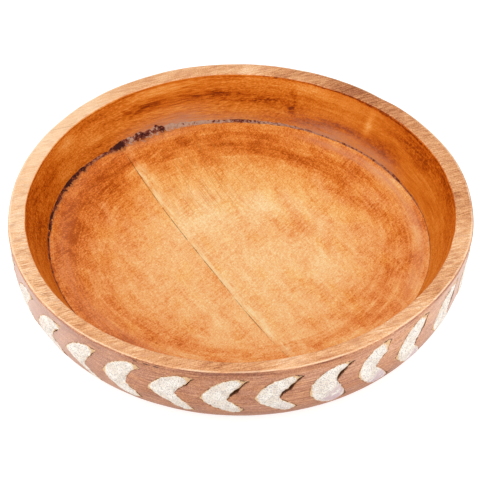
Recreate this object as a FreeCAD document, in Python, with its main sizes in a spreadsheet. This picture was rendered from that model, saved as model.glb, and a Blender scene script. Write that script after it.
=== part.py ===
import FreeCAD, Part
import math
import os

import Sketcher

# A turned wooden bowl: a wall ring of four edge-glued boards, a dished floor disc of two edge-glued
# boards seated in a rabbet under the ring, a bead of filler over the joint, and a band of carved
# chevrons round the outside, each with its own white inlay.
# Frame: millimetres, +Z up, origin at the centre of the flat base. Azimuths are in degrees about +Z
# from +X. A blank is turned about Z, then rotated so that its glue lines run along its own X, and the
# finished boards are turned back to where the grain really lies.

SIZES = {
    # the bowl as a whole
    "rim_radius": 152.5,
    "rim_inner_radius": 140.8,
    "rim_ease": 1.6,
    "bowl_height": 54.5,
    "base_radius": 135.0,
    "base_ease": 1.5,
    # the outer wall: a slight taper down to the belly, then one arc under to the base
    "belly_radius": 150.9,
    "belly_height": 32.5,
    "belly_arc_radius": 48.5,
    # the hollow: the floor is flat in the middle and rises in one arc to the foot of the wall
    "floor_radius": 127.0,
    "floor_height": 26.0,
    "dish_depth": 10.7,
    "dish_flat_radius": 40.0,
    "dish_arc_radius": 341.0,
    # the rabbet that seats the floor disc
    "rabbet_radius": 131.0,
    "rabbet_height": 15.0,
    # the bead in the corner between floor and wall
    "bead_width": 2.2,
    "bead_depth": 2.5,
    "bead_climb": 0.07,
    # the wall's glue lines, as distances from the axis square to the grain
    "wall_grain_azimuth": 20.0,
    "wall_rear_joint": 118.3,
    "wall_front_joint": -45.8,
    # the floor's glue line
    "floor_joint_azimuth": 29.4,
    "floor_joint": -23.8,
    # the band of chevrons, tips pointing clockwise as seen from above
    "chevron_count": 28,
    "chevron_azimuth": 267.0,
    "chevron_height": 31.6,
    "chevron_wall_radius": 150.5,
    "chevron_lean": 8.8,
    "chevron_depth": 4.6,
    "cutter_clearance": 6.0,
    "inlay_recess": 0.7,
    # one chevron's outline, measured from its notch
    "tip_across": -15.8,
    "tip_up": -2.3,
    "crest_across": 3.0,
    "crest_up": 16.9,
    "upper_end_across": 15.3,
    "upper_end_up": 16.3,
    "lower_end_across": 11.8,
    "lower_end_up": -16.5,
    "upper_back_radius": 25.0,
    "upper_inner_radius": 39.0,
    "lower_back_radius": 26.6,
}

# The chevron that is built first faces -Y.
DRAWN_AZIMUTH = 270.0
# The blocks that cut a blank into boards reach this far past the axis.
BLOCK_REACH = 200.0
SKETCH_START = 1
SKETCH_END = 2
SKETCH_ORIGIN = -1
UPRIGHT = FreeCAD.Vector(0, 0, 1)

doc = FreeCAD.newDocument("CarvedBowl")


def make_sheet():
    """The driving dimensions, a name and a value to a row."""
    sizes = doc.addObject("Spreadsheet::Sheet", "Sizes")
    for row, (name, value) in enumerate(SIZES.items(), start=1):
        sizes.set("A%d" % row, name)
        sizes.set("B%d" % row, str(value))
        sizes.setAlias("B%d" % row, name)
    doc.recompute()
    return sizes


sheet = make_sheet()


def size(name):
    return float(sheet.get(name))


def formula(text):
    """Puts the sheet's name before each alias in a formula."""
    words = []
    for word in text.split(" "):
        bare = word.strip("()-")
        words.append(word.replace(bare, "Sizes." + bare) if bare in SIZES else word)
    return " ".join(words)


# ---- bodies and sketches -------------------------------------------------------------------------


def new_body(label):
    body = doc.addObject("PartDesign::Body", label)
    body.Label = label
    return body


def origin_feature(body, role):
    for feature in body.Origin.OriginFeatures:
        if feature.Role == role:
            return feature
    raise ValueError("the body has no " + role)


def new_sketch(body, name):
    """A sketch on the body's XZ plane: its x is +X, its y is +Z and it faces -Y."""
    sketch = body.newObject("Sketcher::SketchObject", name)
    sketch.AttachmentSupport = [(origin_feature(body, "XZ_Plane"), "")]
    sketch.MapMode = "FlatFace"
    return sketch


def arc_between(start, end, radius, side):
    """An arc that bulges to the left (side +1) or the right (side -1) of the way from start to end."""
    along = end - start
    half = along.Length / 2
    rise = radius - math.sqrt(radius ** 2 - half ** 2)
    leftward = FreeCAD.Vector(-along.y, along.x, 0).normalize()
    return Part.Arc(start, (start + end) * 0.5 + leftward * (rise * side), end)


def nearest_end(sketch, edge, point):
    """Which end of an edge lies on the point: an arc's ends run anticlockwise whatever its start."""
    to_start = (sketch.getPoint(edge, SKETCH_START) - point).Length
    to_end = (sketch.getPoint(edge, SKETCH_END) - point).Length
    return SKETCH_START if to_start < to_end else SKETCH_END


def draw_outline(sketch, corners, arcs=None):
    """A closed outline. corners holds a formula for x and one for y each. arcs holds, for the number
    of the corner that an arc leaves from, the alias of its radius and its side."""
    arcs = arcs or {}
    places = [[formula(text) for text in corner] for corner in corners]
    points = [FreeCAD.Vector(*[float(sketch.evalExpression(text)) for text in place])
              for place in places]
    edges = []
    for number, start in enumerate(points):
        end = points[(number + 1) % len(points)]
        if number in arcs:
            radius, side = arcs[number]
            shape = arc_between(start, end, size(radius), side)
        else:
            shape = Part.LineSegment(start, end)
        edges.append(sketch.addGeometry(shape, False))
    for number, edge in enumerate(edges):
        following = (number + 1) % len(edges)
        meeting = points[following]
        sketch.addConstraint(Sketcher.Constraint(
            "Coincident",
            edge, nearest_end(sketch, edge, meeting),
            edges[following], nearest_end(sketch, edges[following], meeting)))
    for edge, point, (across, up) in zip(edges, points, places):
        leaving = nearest_end(sketch, edge, point)
        for kind, text, value in (("DistanceX", across, point.x), ("DistanceY", up, point.y)):
            pinned = sketch.addConstraint(Sketcher.Constraint(
                kind, SKETCH_ORIGIN, SKETCH_START, edge, leaving, value))
            sketch.setExpression("Constraints[%d]" % pinned, text)
    for number, (radius, side) in arcs.items():
        rounded = sketch.addConstraint(Sketcher.Constraint("Radius", edges[number], size(radius)))
        sketch.setExpression("Constraints[%d]" % rounded, formula(radius))
    doc.recompute()


def turn(body, kind, sketch, name):
    """A full turn about Z: kind is Revolution to add, Groove to cut."""
    turned = body.newObject("PartDesign::" + kind, name)
    turned.Profile = sketch
    turned.ReferenceAxis = (sketch, ["V_Axis"])
    turned.Angle = 360.0
    doc.recompute()
    return turned


def ease_edge(body, base, name, ease, radius, level):
    """Rounds the circular edge of a turned solid that has this radius and height."""
    found = []
    for number, edge in enumerate(base.Shape.Edges, start=1):
        curve = edge.Curve
        if not isinstance(curve, Part.Circle):
            continue
        if abs(curve.Radius - radius) < 0.01 and abs(curve.Center.z - level) < 0.01:
            found.append("Edge%d" % number)
    rounded = body.newObject("PartDesign::Fillet", name)
    rounded.Base = (base, found)
    rounded.setExpression("Radius", formula(ease))
    doc.recompute()
    return rounded


# ---- the chevron ---------------------------------------------------------------------------------


def draw_chevron(body, name, outward):
    """A chevron on a plane that leans with the wall, outward of the wall by a formula's length:
    tip to the left, a bellied upper arm that ends in a thin point, a notch, a shorter lower arm."""
    sketch = new_sketch(body, name)
    level = FreeCAD.Vector(1, 0, 0)
    sketch.AttachmentOffset = FreeCAD.Placement(
        FreeCAD.Vector(), FreeCAD.Rotation(level, size("chevron_lean")))
    offset = {
        "Rotation.Angle": "chevron_lean",
        "Base.y": "chevron_height - ( %s ) * sin( chevron_lean )" % outward,
        "Base.z": "chevron_wall_radius + ( %s ) * cos( chevron_lean )" % outward,
    }
    for part, text in offset.items():
        sketch.setExpression("AttachmentOffset." + part, formula(text))
    draw_outline(sketch, [
        ("tip_across", "tip_up"),
        ("crest_across", "crest_up"),
        ("upper_end_across", "upper_end_up"),
        ("0", "0"),
        ("lower_end_across", "lower_end_up"),
    ], {
        0: ("upper_back_radius", 1),
        2: ("upper_inner_radius", -1),
        4: ("lower_back_radius", 1),
    })
    return sketch


# ---- the blanks ----------------------------------------------------------------------------------


def make_wall_blank():
    """The whole wall ring, turned, its edges eased, with every chevron pocket carved in it."""
    body = new_body("wall_blank")
    section = new_sketch(body, "WallSection")
    draw_outline(section, [
        ("rim_inner_radius", "bowl_height"),
        ("rim_radius", "bowl_height"),
        ("belly_radius", "belly_height"),
        ("base_radius", "0"),
        ("rabbet_radius", "0"),
        ("rabbet_radius", "rabbet_height"),
        ("floor_radius", "rabbet_height"),
        ("floor_radius", "floor_height"),
    ], {2: ("belly_arc_radius", 1)})
    turned = turn(body, "Revolution", section, "WallTurned")
    eased = ease_edge(body, turned, "RimOutside", "rim_ease", size("rim_radius"), size("bowl_height"))
    eased = ease_edge(
        body, eased, "RimInside", "rim_ease", size("rim_inner_radius"), size("bowl_height"))
    eased = ease_edge(body, eased, "BaseEdge", "base_ease", size("base_radius"), 0)
    pocket = body.newObject("PartDesign::Pocket", "ChevronPocket")
    pocket.Profile = draw_chevron(body, "PocketOutline", "cutter_clearance")
    pocket.setExpression("Length", formula("cutter_clearance + chevron_depth"))
    doc.recompute()
    carved = body.newObject("PartDesign::PolarPattern", "ChevronBand")
    carved.Originals = [pocket]
    carved.Axis = (origin_feature(body, "Z_Axis"), "")
    carved.Angle = 360.0
    carved.setExpression("Occurrences", formula("chevron_count"))
    body.Tip = carved
    body.Placement = FreeCAD.Placement(FreeCAD.Vector(), FreeCAD.Rotation(UPRIGHT, 1))
    body.setExpression(
        "Placement.Rotation.Angle",
        formula("chevron_azimuth - %s - wall_grain_azimuth" % DRAWN_AZIMUTH))
    doc.recompute()
    return body


def make_floor_blank():
    """The whole floor disc: a flange that fills the rabbet, a bevel for the bead, a dished top."""
    body = new_body("floor_blank")
    section = new_sketch(body, "FloorSection")
    draw_outline(section, [
        ("0", "0"),
        ("rabbet_radius", "0"),
        ("rabbet_radius", "rabbet_height"),
        ("floor_radius", "rabbet_height"),
        ("floor_radius", "floor_height - bead_depth"),
        ("floor_radius - bead_width", "floor_height"),
        ("dish_flat_radius", "floor_height - dish_depth"),
        ("0", "floor_height - dish_depth"),
    ], {5: ("dish_arc_radius", 1)})
    turn(body, "Revolution", section, "FloorTurned")
    return body


def make_inlay_blank():
    """One inlay: it fills its pocket to a face that lies a little below the wall's own."""
    body = new_body("inlay_blank")
    block = body.newObject("PartDesign::Pad", "InlayBlock")
    block.Profile = draw_chevron(body, "InlayOutline", "-chevron_depth")
    block.setExpression("Length", formula("chevron_depth + cutter_clearance"))
    doc.recompute()
    beyond = new_sketch(body, "BeyondInlay")
    draw_outline(beyond, [
        ("rim_radius - inlay_recess", "bowl_height"),
        ("rim_radius + %s" % BLOCK_REACH, "bowl_height"),
        ("rim_radius + %s" % BLOCK_REACH, "0"),
        ("base_radius - inlay_recess", "0"),
        ("belly_radius - inlay_recess", "belly_height"),
    ], {3: ("belly_arc_radius", -1)})
    turn(body, "Groove", beyond, "InlayFace")
    return body


# ---- the pieces ----------------------------------------------------------------------------------


def make_block(name, near_x, far_x, near_y, far_y):
    """A tall block over the base between four formulas."""
    block = doc.addObject("Part::Box", name)
    block.setExpression("Placement.Base.x", formula(near_x))
    block.setExpression("Placement.Base.y", formula(near_y))
    block.setExpression("Length", formula("%s - ( %s )" % (far_x, near_x)))
    block.setExpression("Width", formula("%s - ( %s )" % (far_y, near_y)))
    block.setExpression("Height", formula("bowl_height"))
    return block


def make_board(label, blank, block, azimuth):
    """The part of a blank inside a block, turned so that the blank's X lies at the azimuth."""
    board = doc.addObject("Part::MultiCommon", label)
    board.Label = label
    board.Shapes = [blank, block]
    board.Placement = FreeCAD.Placement(FreeCAD.Vector(), FreeCAD.Rotation(UPRIGHT, 1))
    board.setExpression("Placement.Rotation.Angle", formula(azimuth))
    return board


def make_wall_boards():
    """The ring comes from three planks side by side; its hollow parts the middle one in two."""
    blank = make_wall_blank()
    near, far = str(-BLOCK_REACH), str(BLOCK_REACH)
    rear, front = "wall_rear_joint", "wall_front_joint"
    planks = {
        "wall_board_rear": (near, far, rear, far),
        "wall_board_left": (near, "0", front, rear),
        "wall_board_right": ("0", far, front, rear),
        "wall_board_front": (near, far, near, front),
    }
    boards = []
    for label, sides in planks.items():
        block = make_block(label + "_block", *sides)
        boards.append(make_board(label, blank, block, "wall_grain_azimuth"))
    return boards


def make_floor_boards():
    blank = make_floor_blank()
    near, far = str(-BLOCK_REACH), str(BLOCK_REACH)
    joint = "floor_joint"
    planks = {
        "floor_board_left": (near, joint, near, far),
        "floor_board_right": (joint, far, near, far),
    }
    boards = []
    for label, sides in planks.items():
        block = make_block(label + "_block", *sides)
        boards.append(make_board(label, blank, block, "floor_joint_azimuth"))
    return boards


def make_bead():
    """Filler in the bevel round the floor, wiped a little way up the wall."""
    body = new_body("joint_filler_bead")
    section = new_sketch(body, "BeadSection")
    climb_across = "bead_climb * ( rim_inner_radius - floor_radius )"
    climb_up = "bead_climb * ( bowl_height - floor_height )"
    draw_outline(section, [
        ("floor_radius - bead_width", "floor_height"),
        ("floor_radius", "floor_height - bead_depth"),
        ("floor_radius", "floor_height"),
        ("floor_radius + " + climb_across, "floor_height + " + climb_up),
    ])
    turn(body, "Revolution", section, "BeadTurned")
    return body


def make_inlays():
    """One piece for each pocket, numbered anticlockwise from the front."""
    blank = make_inlay_blank()
    inlays = []
    for number in range(int(size("chevron_count"))):
        inlay = new_body("chevron_fill_%02d" % (number + 1))
        copy = inlay.newObject("PartDesign::FeatureBase", "Copy")
        copy.BaseFeature = blank
        inlay.Placement = FreeCAD.Placement(FreeCAD.Vector(), FreeCAD.Rotation(UPRIGHT, 1))
        inlay.setExpression(
            "Placement.Rotation.Angle",
            formula("chevron_azimuth - %s + %d * 360 / chevron_count" % (DRAWN_AZIMUTH, number)))
        inlays.append(inlay)
    return inlays


# ---- checking and writing ------------------------------------------------------------------------


def check_document(pieces):
    for item in doc.Objects:
        if "Invalid" in item.State or "Error" in item.State:
            raise RuntimeError("%s failed: %s" % (item.Name, item.State))
    for piece in pieces:
        shape = piece.Shape
        if shape.isNull() or not shape.isValid() or len(shape.Solids) != 1:
            raise RuntimeError("%s is not one valid solid" % piece.Label)


def write_pieces(pieces):
    os.makedirs("parts", exist_ok=True)
    for piece in pieces:
        piece.Shape.exportStep("parts/%s.step" % piece.Label)


pieces = make_wall_boards() + make_floor_boards() + [make_bead()] + make_inlays()
doc.recompute()
check_document(pieces)
write_pieces(pieces)
print("%d pieces written" % len(pieces))
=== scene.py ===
import itertools
import math

import bmesh
import bpy
import numpy as np
from mathutils import Matrix, Vector


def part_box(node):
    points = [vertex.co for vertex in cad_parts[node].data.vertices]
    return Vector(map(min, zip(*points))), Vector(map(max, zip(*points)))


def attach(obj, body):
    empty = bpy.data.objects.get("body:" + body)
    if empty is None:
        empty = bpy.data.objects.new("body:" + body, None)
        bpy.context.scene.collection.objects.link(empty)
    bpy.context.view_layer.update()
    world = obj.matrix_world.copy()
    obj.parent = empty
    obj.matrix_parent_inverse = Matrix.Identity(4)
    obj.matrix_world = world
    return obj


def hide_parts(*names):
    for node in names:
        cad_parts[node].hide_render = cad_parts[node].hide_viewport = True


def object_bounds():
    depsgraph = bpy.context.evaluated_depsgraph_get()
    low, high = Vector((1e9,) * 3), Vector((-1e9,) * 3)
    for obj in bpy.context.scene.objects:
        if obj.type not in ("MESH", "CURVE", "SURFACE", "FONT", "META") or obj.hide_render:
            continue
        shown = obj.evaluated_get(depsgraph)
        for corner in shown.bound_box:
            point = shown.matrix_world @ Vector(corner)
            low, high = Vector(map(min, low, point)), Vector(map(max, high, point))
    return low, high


# The looks of a carved wooden bowl. Shapes are worked out in millimetres in the frame's axes and
# stored in metres. Azimuths are in degrees about +Z from +X, as in the CAD model.

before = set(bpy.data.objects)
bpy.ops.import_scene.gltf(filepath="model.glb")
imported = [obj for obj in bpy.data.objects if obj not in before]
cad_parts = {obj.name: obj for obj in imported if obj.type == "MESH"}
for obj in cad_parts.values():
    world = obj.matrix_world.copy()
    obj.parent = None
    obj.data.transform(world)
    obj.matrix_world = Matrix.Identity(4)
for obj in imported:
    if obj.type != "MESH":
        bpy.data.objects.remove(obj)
cad_low, cad_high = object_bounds()

# ---- sizes ----

MM = 0.001
FULL_TURN = 360.0

# From the frame.
RIM_RADIUS = (cad_high.x - cad_low.x) / 2 / MM
TOP = cad_high.z / MM
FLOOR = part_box("floor_board_right")[1].z / MM
RABBET_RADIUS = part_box("floor_board_right")[1].x / MM
INLAYS = sorted(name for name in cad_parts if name.startswith("chevron_fill"))

# The rest of the section, as in the CAD model.
RABBET_WIDTH = 4.0
RABBET_HEIGHT = 15.0
JOINT_RADIUS = RABBET_RADIUS - RABBET_WIDTH
RIM_WIDTH = 11.7
RIM_EASE = 1.5
MOUTH_RADIUS = RIM_RADIUS - RIM_WIDTH
# The inner wall leans most at its foot. This power straightens it towards the rim.
LEAN_POWER = 1.25
BELLY = (150.9, 32.5)
BELLY_ARC_RADIUS = 48.5
BASE_RADIUS = 135.0
BASE_EASE = 1.4
BASE_FLAT_RADIUS = BASE_RADIUS - 1.2
# The dished floor: this far below its edge, flat out to a radius.
DISH_DEPTH = 10.7
DISH_FLAT_RADIUS = 40.0

# Glue lines: planes square to a direction, at a distance from the axis.
WALL_GRAIN = 20.0
WALL_REAR_JOINT = 118.3
WALL_FRONT_JOINT = -45.8
FLOOR_GRAIN = 119.4
FLOOR_JOINT = 23.8
GLUE_GAP = 0.01
SEAM_WIDTH = 0.4

# The band of chevrons.
CHEVRON_AZIMUTH = 267.0
CHEVRON_PITCH = FULL_TURN / len(INLAYS)
CHEVRON_HEIGHT = 31.6
CHEVRON_RADIUS = 150.5
POCKET_DEPTH = 4.4

# Mesh spacing.
WALL_STEP = 0.8
HIDDEN_STEP = 4.0
FLOOR_STEP = 1.1
INLAY_STEP = 0.6
BEAD_STEP = 0.6
# Points on each side of a chevron.
SIDE_POINTS = 9
# Edges that turn by more than this many degrees are sharp.
SHARP_ANGLE = 38
# The circle on which noise round the ring is read.
NOISE_RADIUS = 130.0


# ---- noise and shaping ----


def lattice_value(cells, seed):
    """A fixed number from -1 to 1 for each whole-numbered point."""
    mixed = cells @ np.array([127.1, 311.7, 74.7]) + seed * 57.3
    return 2 * np.modf(np.abs(np.sin(mixed) * 43758.5453))[0] - 1


def noise(points, size, seed=0, octaves=1):
    """Smooth noise from about -1 to 1 at points in millimetres. size is its grain, one number or one
    for each axis. Each further octave is half the size and half as strong."""
    points = np.asarray(points)
    flat = points.reshape(-1, 3)
    total = np.zeros(len(flat))
    for octave in range(octaves):
        scaled = flat / np.asarray(size) * 2.0 ** octave
        cells = np.floor(scaled)
        part = scaled - cells
        part = part * part * (3 - 2 * part)
        for corner in itertools.product((0, 1), repeat=3):
            weight = np.prod(np.where(corner, part, 1 - part), axis=1)
            total += weight * lattice_value(cells + corner, seed + 31 * octave) / 2.0 ** octave
    return total.reshape(points.shape[:-1])


def smooth_step(values, low, high):
    share = np.clip((values - low) / (high - low), 0, 1)
    return share * share * (3 - 2 * share)


def turn_apart(azimuth, centre):
    """The angle from a centre to each azimuth, from -180 to 180."""
    return (np.asarray(azimuth) - centre + FULL_TURN / 2) % FULL_TURN - FULL_TURN / 2


def bump_at(azimuth, centre, spread):
    """1 at the centre azimuth, falling off to both sides."""
    return np.exp(-(turn_apart(azimuth, centre) / spread) ** 2)


def read_table(table, azimuth):
    """Each value column of a table whose first column is azimuth, read at the azimuths."""
    return [np.interp(azimuth, table[:, 0], values, period=FULL_TURN) for values in table[:, 1:].T]


def arcs(table, azimuth):
    """The sum of soft-edged arcs. A row holds an arc's azimuth, half width round and strength."""
    return sum(strength * bump_at(azimuth, place, wide) for place, wide, strength in table)


def patches(table, azimuth, level):
    """The sum of soft-edged patches. A row holds a patch's azimuth, level, half width round, half width
    across and strength. The level is a height or a radius."""
    return sum(
        strength * bump_at(azimuth, place, wide) * np.exp(-((level - middle) / tall) ** 2)
        for place, middle, wide, tall, strength in table)


def polar(azimuth, radius, height):
    """Points in the frame from azimuth, radius and height."""
    angle = np.radians(azimuth)
    parts = np.broadcast_arrays(radius * np.cos(angle), radius * np.sin(angle), height)
    return np.stack(parts, -1)


def ring_noise(azimuth, size, seed, octaves=1):
    """Noise round a circle that meets itself after a turn."""
    return noise(polar(azimuth, NOISE_RADIUS, 0), size, seed, octaves)


# ---- the turned section ----


def spaced(start, end, step):
    """Points on a straight line from start to end, leaving the end out."""
    start, end = np.array(start, float), np.array(end, float)
    count = max(1, round(np.linalg.norm(end - start) / step))
    share = np.arange(count)[:, None] / count
    return start + (end - start) * share


def corner_arc(centre, radius, first, last, count):
    """Points on an arc between two angles, both ends included."""
    angles = np.radians(np.linspace(first, last, count))
    return np.array(centre) + radius * np.stack([np.cos(angles), np.sin(angles)], 1)


def belly_arc():
    """The arc of the outer wall from the belly down to the base."""
    start, end = np.array(BELLY), np.array([BASE_RADIUS, 0.0])
    along = end - start
    half = np.linalg.norm(along) / 2
    inward = np.array([along[1], -along[0]]) / np.linalg.norm(along)
    centre = (start + end) / 2 + inward * math.sqrt(BELLY_ARC_RADIUS ** 2 - half ** 2)
    first = math.degrees(math.atan2(*(start - centre)[::-1]))
    last = math.degrees(math.atan2(*(end - centre)[::-1]))
    return corner_arc(centre, BELLY_ARC_RADIUS, first, last, round(2.05 * half / WALL_STEP))


def ring_section():
    """The wall ring's section as a closed loop of (radius, height), and the rows of its inside, rim and
    outside."""
    climb = np.linspace(0, 1, round((TOP - FLOOR) / WALL_STEP))
    lean = (MOUTH_RADIUS - JOINT_RADIUS) * (1 - (1 - climb) ** LEAN_POWER)
    inner_wall = np.stack([JOINT_RADIUS + lean, FLOOR + climb * (TOP - FLOOR - RIM_EASE)], 1)
    inner_ease = corner_arc((MOUTH_RADIUS + RIM_EASE, TOP - RIM_EASE), RIM_EASE, 180, 90, 6)[1:]
    flat = spaced((MOUTH_RADIUS + RIM_EASE, TOP), (RIM_RADIUS - RIM_EASE, TOP), WALL_STEP)[1:]
    outer_ease = corner_arc((RIM_RADIUS - RIM_EASE, TOP - RIM_EASE), RIM_EASE, 90, 0, 6)
    taper = spaced((RIM_RADIUS, TOP - RIM_EASE), BELLY, WALL_STEP)[1:]
    base_edge = corner_arc((BASE_FLAT_RADIUS, BASE_EASE), BASE_EASE, -35, -90, 4)
    hidden_corners = [
        (BASE_FLAT_RADIUS, 0),
        (RABBET_RADIUS, 0),
        (RABBET_RADIUS, RABBET_HEIGHT),
        (JOINT_RADIUS, RABBET_HEIGHT),
        (JOINT_RADIUS, FLOOR),
    ]
    hidden = [spaced(*ends, HIDDEN_STEP) for ends in itertools.pairwise(hidden_corners)]
    runs = [
        inner_wall,
        np.concatenate([inner_ease, flat, outer_ease]),
        np.concatenate([taper, belly_arc()[:-2]]),
        np.concatenate([base_edge, np.concatenate(hidden)[1:]]),
    ]
    ends = np.cumsum([0] + [len(run) for run in runs[:3]])
    return np.concatenate(runs), [slice(*pair) for pair in itertools.pairwise(ends)]


SECTION, (INSIDE, RIM, OUTSIDE) = ring_section()
OUTER_PROFILE = SECTION[OUTSIDE][::-1]


# How far the rim's edges stray outwards from their drawn radii: azimuth, outer edge, inner edge.
RIM_STRAYS = np.array([
    (0, 1, 0.9), (18, 1.3, 1), (30, 0.4, 0.6), (42, -0.2, 0.1), (54, -0.6, -0.6), (63, -0.4, -1.4),
    (72, -0.3, -0.8), (84, 0.4, -0.4), (96, 0.6, -0.1), (105, 0.7, 0.2), (116, 0.3, -0.4),
    (126, 0.3, 0.6), (132, 0, 0), (141, -0.5, 0.4), (156, -0.9, -0.6), (166, -1, -0.9),
    (180, -1.1, -0.4), (192, 0, -0.1), (204, 0.4, 0.6), (218, 0.9, 1.4), (232, 1, 2.1),
    (244, 0.7, 1.5), (256, 0.8, 0.8), (266, -0.8, 1.1), (276, -1.5, 0), (286, -1.6, -0.9),
    (300, -2, -1.4), (314, -2.6, -1.5), (325, -1.7, -1), (335, -0.4, -0.4), (348, 1.2, 0.4),
])
# How far the foot of the wall strays from its drawn radius, by azimuth.
FOOT_STRAYS = np.array([
    (12, -1.2), (30, -2.7), (58, -4.2), (76, -3.2), (92, -2.4), (106, -1.5), (126, -0.3),
    (136, 0.6), (143, 2.9), (151, 3.7), (162, 2.1), (172, 1.2), (184, -0.9), (200, -0.9), (230, 0),
    (350, -0.3),
])


def read_strays(table, column, azimuth):
    """A value column of a table of strays at each azimuth, with its corners smoothed."""
    shifted = [read_table(table, azimuth + shift)[column] for shift in (-4, -1.5, 1.5, 4)]
    return np.mean(shifted, axis=0)


def rim_wander(azimuth):
    """How far the rim's outer edge strays. It has one small dent."""
    dent = 0.7 * bump_at(azimuth, 50, 4)
    return read_strays(RIM_STRAYS, 0, azimuth) - dent + 0.12 * ring_noise(azimuth, 9, seed=3)


def mouth_wander(azimuth):
    """How far the rim's inner edge strays."""
    return read_strays(RIM_STRAYS, 1, azimuth) + 0.2 * ring_noise(azimuth, 9, seed=4, octaves=2)


def body_wander(azimuth):
    """How far the hand-finished outside strays from a true circle below the rim."""
    slow = 0.6 * np.cos(np.radians(3 * azimuth - 40)) + 0.3 * np.cos(np.radians(5 * azimuth + 20))
    return slow + 0.12 * ring_noise(azimuth, 9, seed=3)


def joint_wander(azimuth):
    """How far the foot of the wall strays."""
    return read_strays(FOOT_STRAYS, 0, azimuth) + 0.25 * ring_noise(azimuth, 12, seed=5)


def dished_height(radius):
    """The height of the floor's face at a radius."""
    rise = np.clip((radius - DISH_FLAT_RADIUS) / (JOINT_RADIUS - DISH_FLAT_RADIUS), 0, 1)
    return FLOOR - DISH_DEPTH * (1 - rise ** 2)


def outer_radius(azimuth, height):
    """The outer wall's radius, with its tool marks."""
    azimuth, height = np.broadcast_arrays(azimuth, height)
    base = np.interp(height, OUTER_PROFILE[:, 1], OUTER_PROFILE[:, 0])
    facets = 0.16 * noise(polar(azimuth, base, height), (16, 16, 9), seed=6, octaves=2)
    level = np.clip(height / (TOP - RIM_EASE), 0, 1)
    lip = level ** 6
    return base + body_wander(azimuth) * level * (1 - lip) + rim_wander(azimuth) * lip + facets


# ---- chevron outlines ----

# Nine hand-cut chevrons, in millimetres from the drawn notch: x runs anticlockwise round the wall, y
# runs up. Each has its tip, crest, upper end, elbow, notch, lower end and heel, then how far its back
# and its heel bow outwards, how wide the open slit at its elbow is, and how lilac its lower arm is.
CUTS = [
    ((-15, -1), (5, 15.8), (14.5, 15.5), (8.6, 8), (1.6, -5.6), (12, -18), (6, -18.5),
     2.6, -1.6, 0.6, 0),
    ((-15.1, -0.5), (3, 17), (13.9, 14.9), (6.2, 9.6), (1.4, -3.9), (11.3, -16.5), (2, -20.3),
     2.9, 2.4, 0.5, 0),
    ((-16.5, -2.2), (3.5, 15.9), (14.6, 15.4), (9.4, 10.2), (1, -1), (13.5, -18.4), (5, -20),
     3.8, -1.2, 1.1, 0),
    ((-16.8, -2.4), (1.6, 16.2), (14.8, 15.6), (6.3, 7.2), (0.8, -2.2), (11.6, -13), (6, -18),
     3, 1.5, 2, 0.1),
    ((-15.9, -1.4), (2.6, 15.8), (16.2, 15.4), (5.9, 6.8), (0, -2), (12.4, -14.4), (5, -18.2),
     3.7, 1.3, 2.2, 0.25),
    ((-15, -1.4), (1, 15.6), (16.6, 15.6), (6.2, 8.5), (4.4, 2.2), (12, -15.2), (3, -21),
     4, 2.8, 2, 0.9),
    ((-14.8, -0.9), (3, 18.2), (11.2, 17.8), (7.2, 10), (-1.2, 1), (12, -15.6), (2, -19.2),
     4.8, 1.4, 0.5, 0.9),
    ((-19, -2), (1, 17.6), (12.8, 16.8), (7.6, 9), (-1.5, -2.4), (9, -16), (-0.5, -19.6),
     3.6, 1.6, 0.9, 0.8),
    ((-18.8, -3.2), (2, 16.4), (15, 16), (7.8, 6.6), (2, -4.4), (12, -17), (4, -19.5),
     3.6, 1.6, 0.9, 0.4),
]
# The first of them is for this chevron, counted from the one at CHEVRON_AZIMUTH. Past the last, the
# first eight repeat, with their corners moved by about this much and this share of their slits.
FIRST_CUT = -3
REPEAT = 8
REPEAT_MOVE = 0.5
REPEAT_SLIT = 0.4
# The way in which a slit opens the pocket at the elbow.
SLIT_WAY = np.array([0.72, -0.69])
# How far the marking-out drifted from even spacing: azimuth, round the wall, up it.
DRIFTS = np.array([
    (192, 5.5, -2), (216, 5.2, -2), (229, 0.5, -2), (241, 0, -0.5), (254, 0, 0), (306, 0, 0),
    (319, 0.8, 0), (333, 4, 0),
])


def cut_chevron(number):
    """The cut of a chevron: its corners, the bows of its sides, its slit and its lilac."""
    turn = (number - FIRST_CUT) % len(INLAYS)
    *corners, back, heel, slit, lilac = CUTS[turn if turn < len(CUTS) else turn % REPEAT]
    corners = np.array(corners)
    if turn >= len(CUTS):
        corners += np.random.default_rng(100 + number).normal(0, REPEAT_MOVE, corners.shape)
        slit *= REPEAT_SLIT
    bows = [back, 0.8, -0.4, -0.8, 0.6, 0.5, heel]
    return corners, bows, slit, lilac


def bowed_run(start, end, bow):
    """Points on a shallow arc from start to end, leaving the end out. bow is how far its middle stands
    to the left of the straight line."""
    along = end - start
    left = np.array([-along[1], along[0]]) / np.linalg.norm(along)
    share = np.arange(SIDE_POINTS)[:, None] / SIDE_POINTS
    return start + along * share + left * (4 * bow * share * (1 - share))


def chevron_outline(corners, bows):
    """A closed outline through the corners, with each side bowed."""
    following = np.roll(corners, -1, axis=0)
    return np.concatenate([bowed_run(*side) for side in zip(corners, following, bows)])


def pocket_outline(number):
    """The carved pocket: it is open a slit's width past the inlay at the elbow."""
    corners, bows, slit, _ = cut_chevron(number)
    corners[3] += slit * SLIT_WAY
    bows[2] -= 0.35 * slit
    return chevron_outline(corners, bows)


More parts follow.
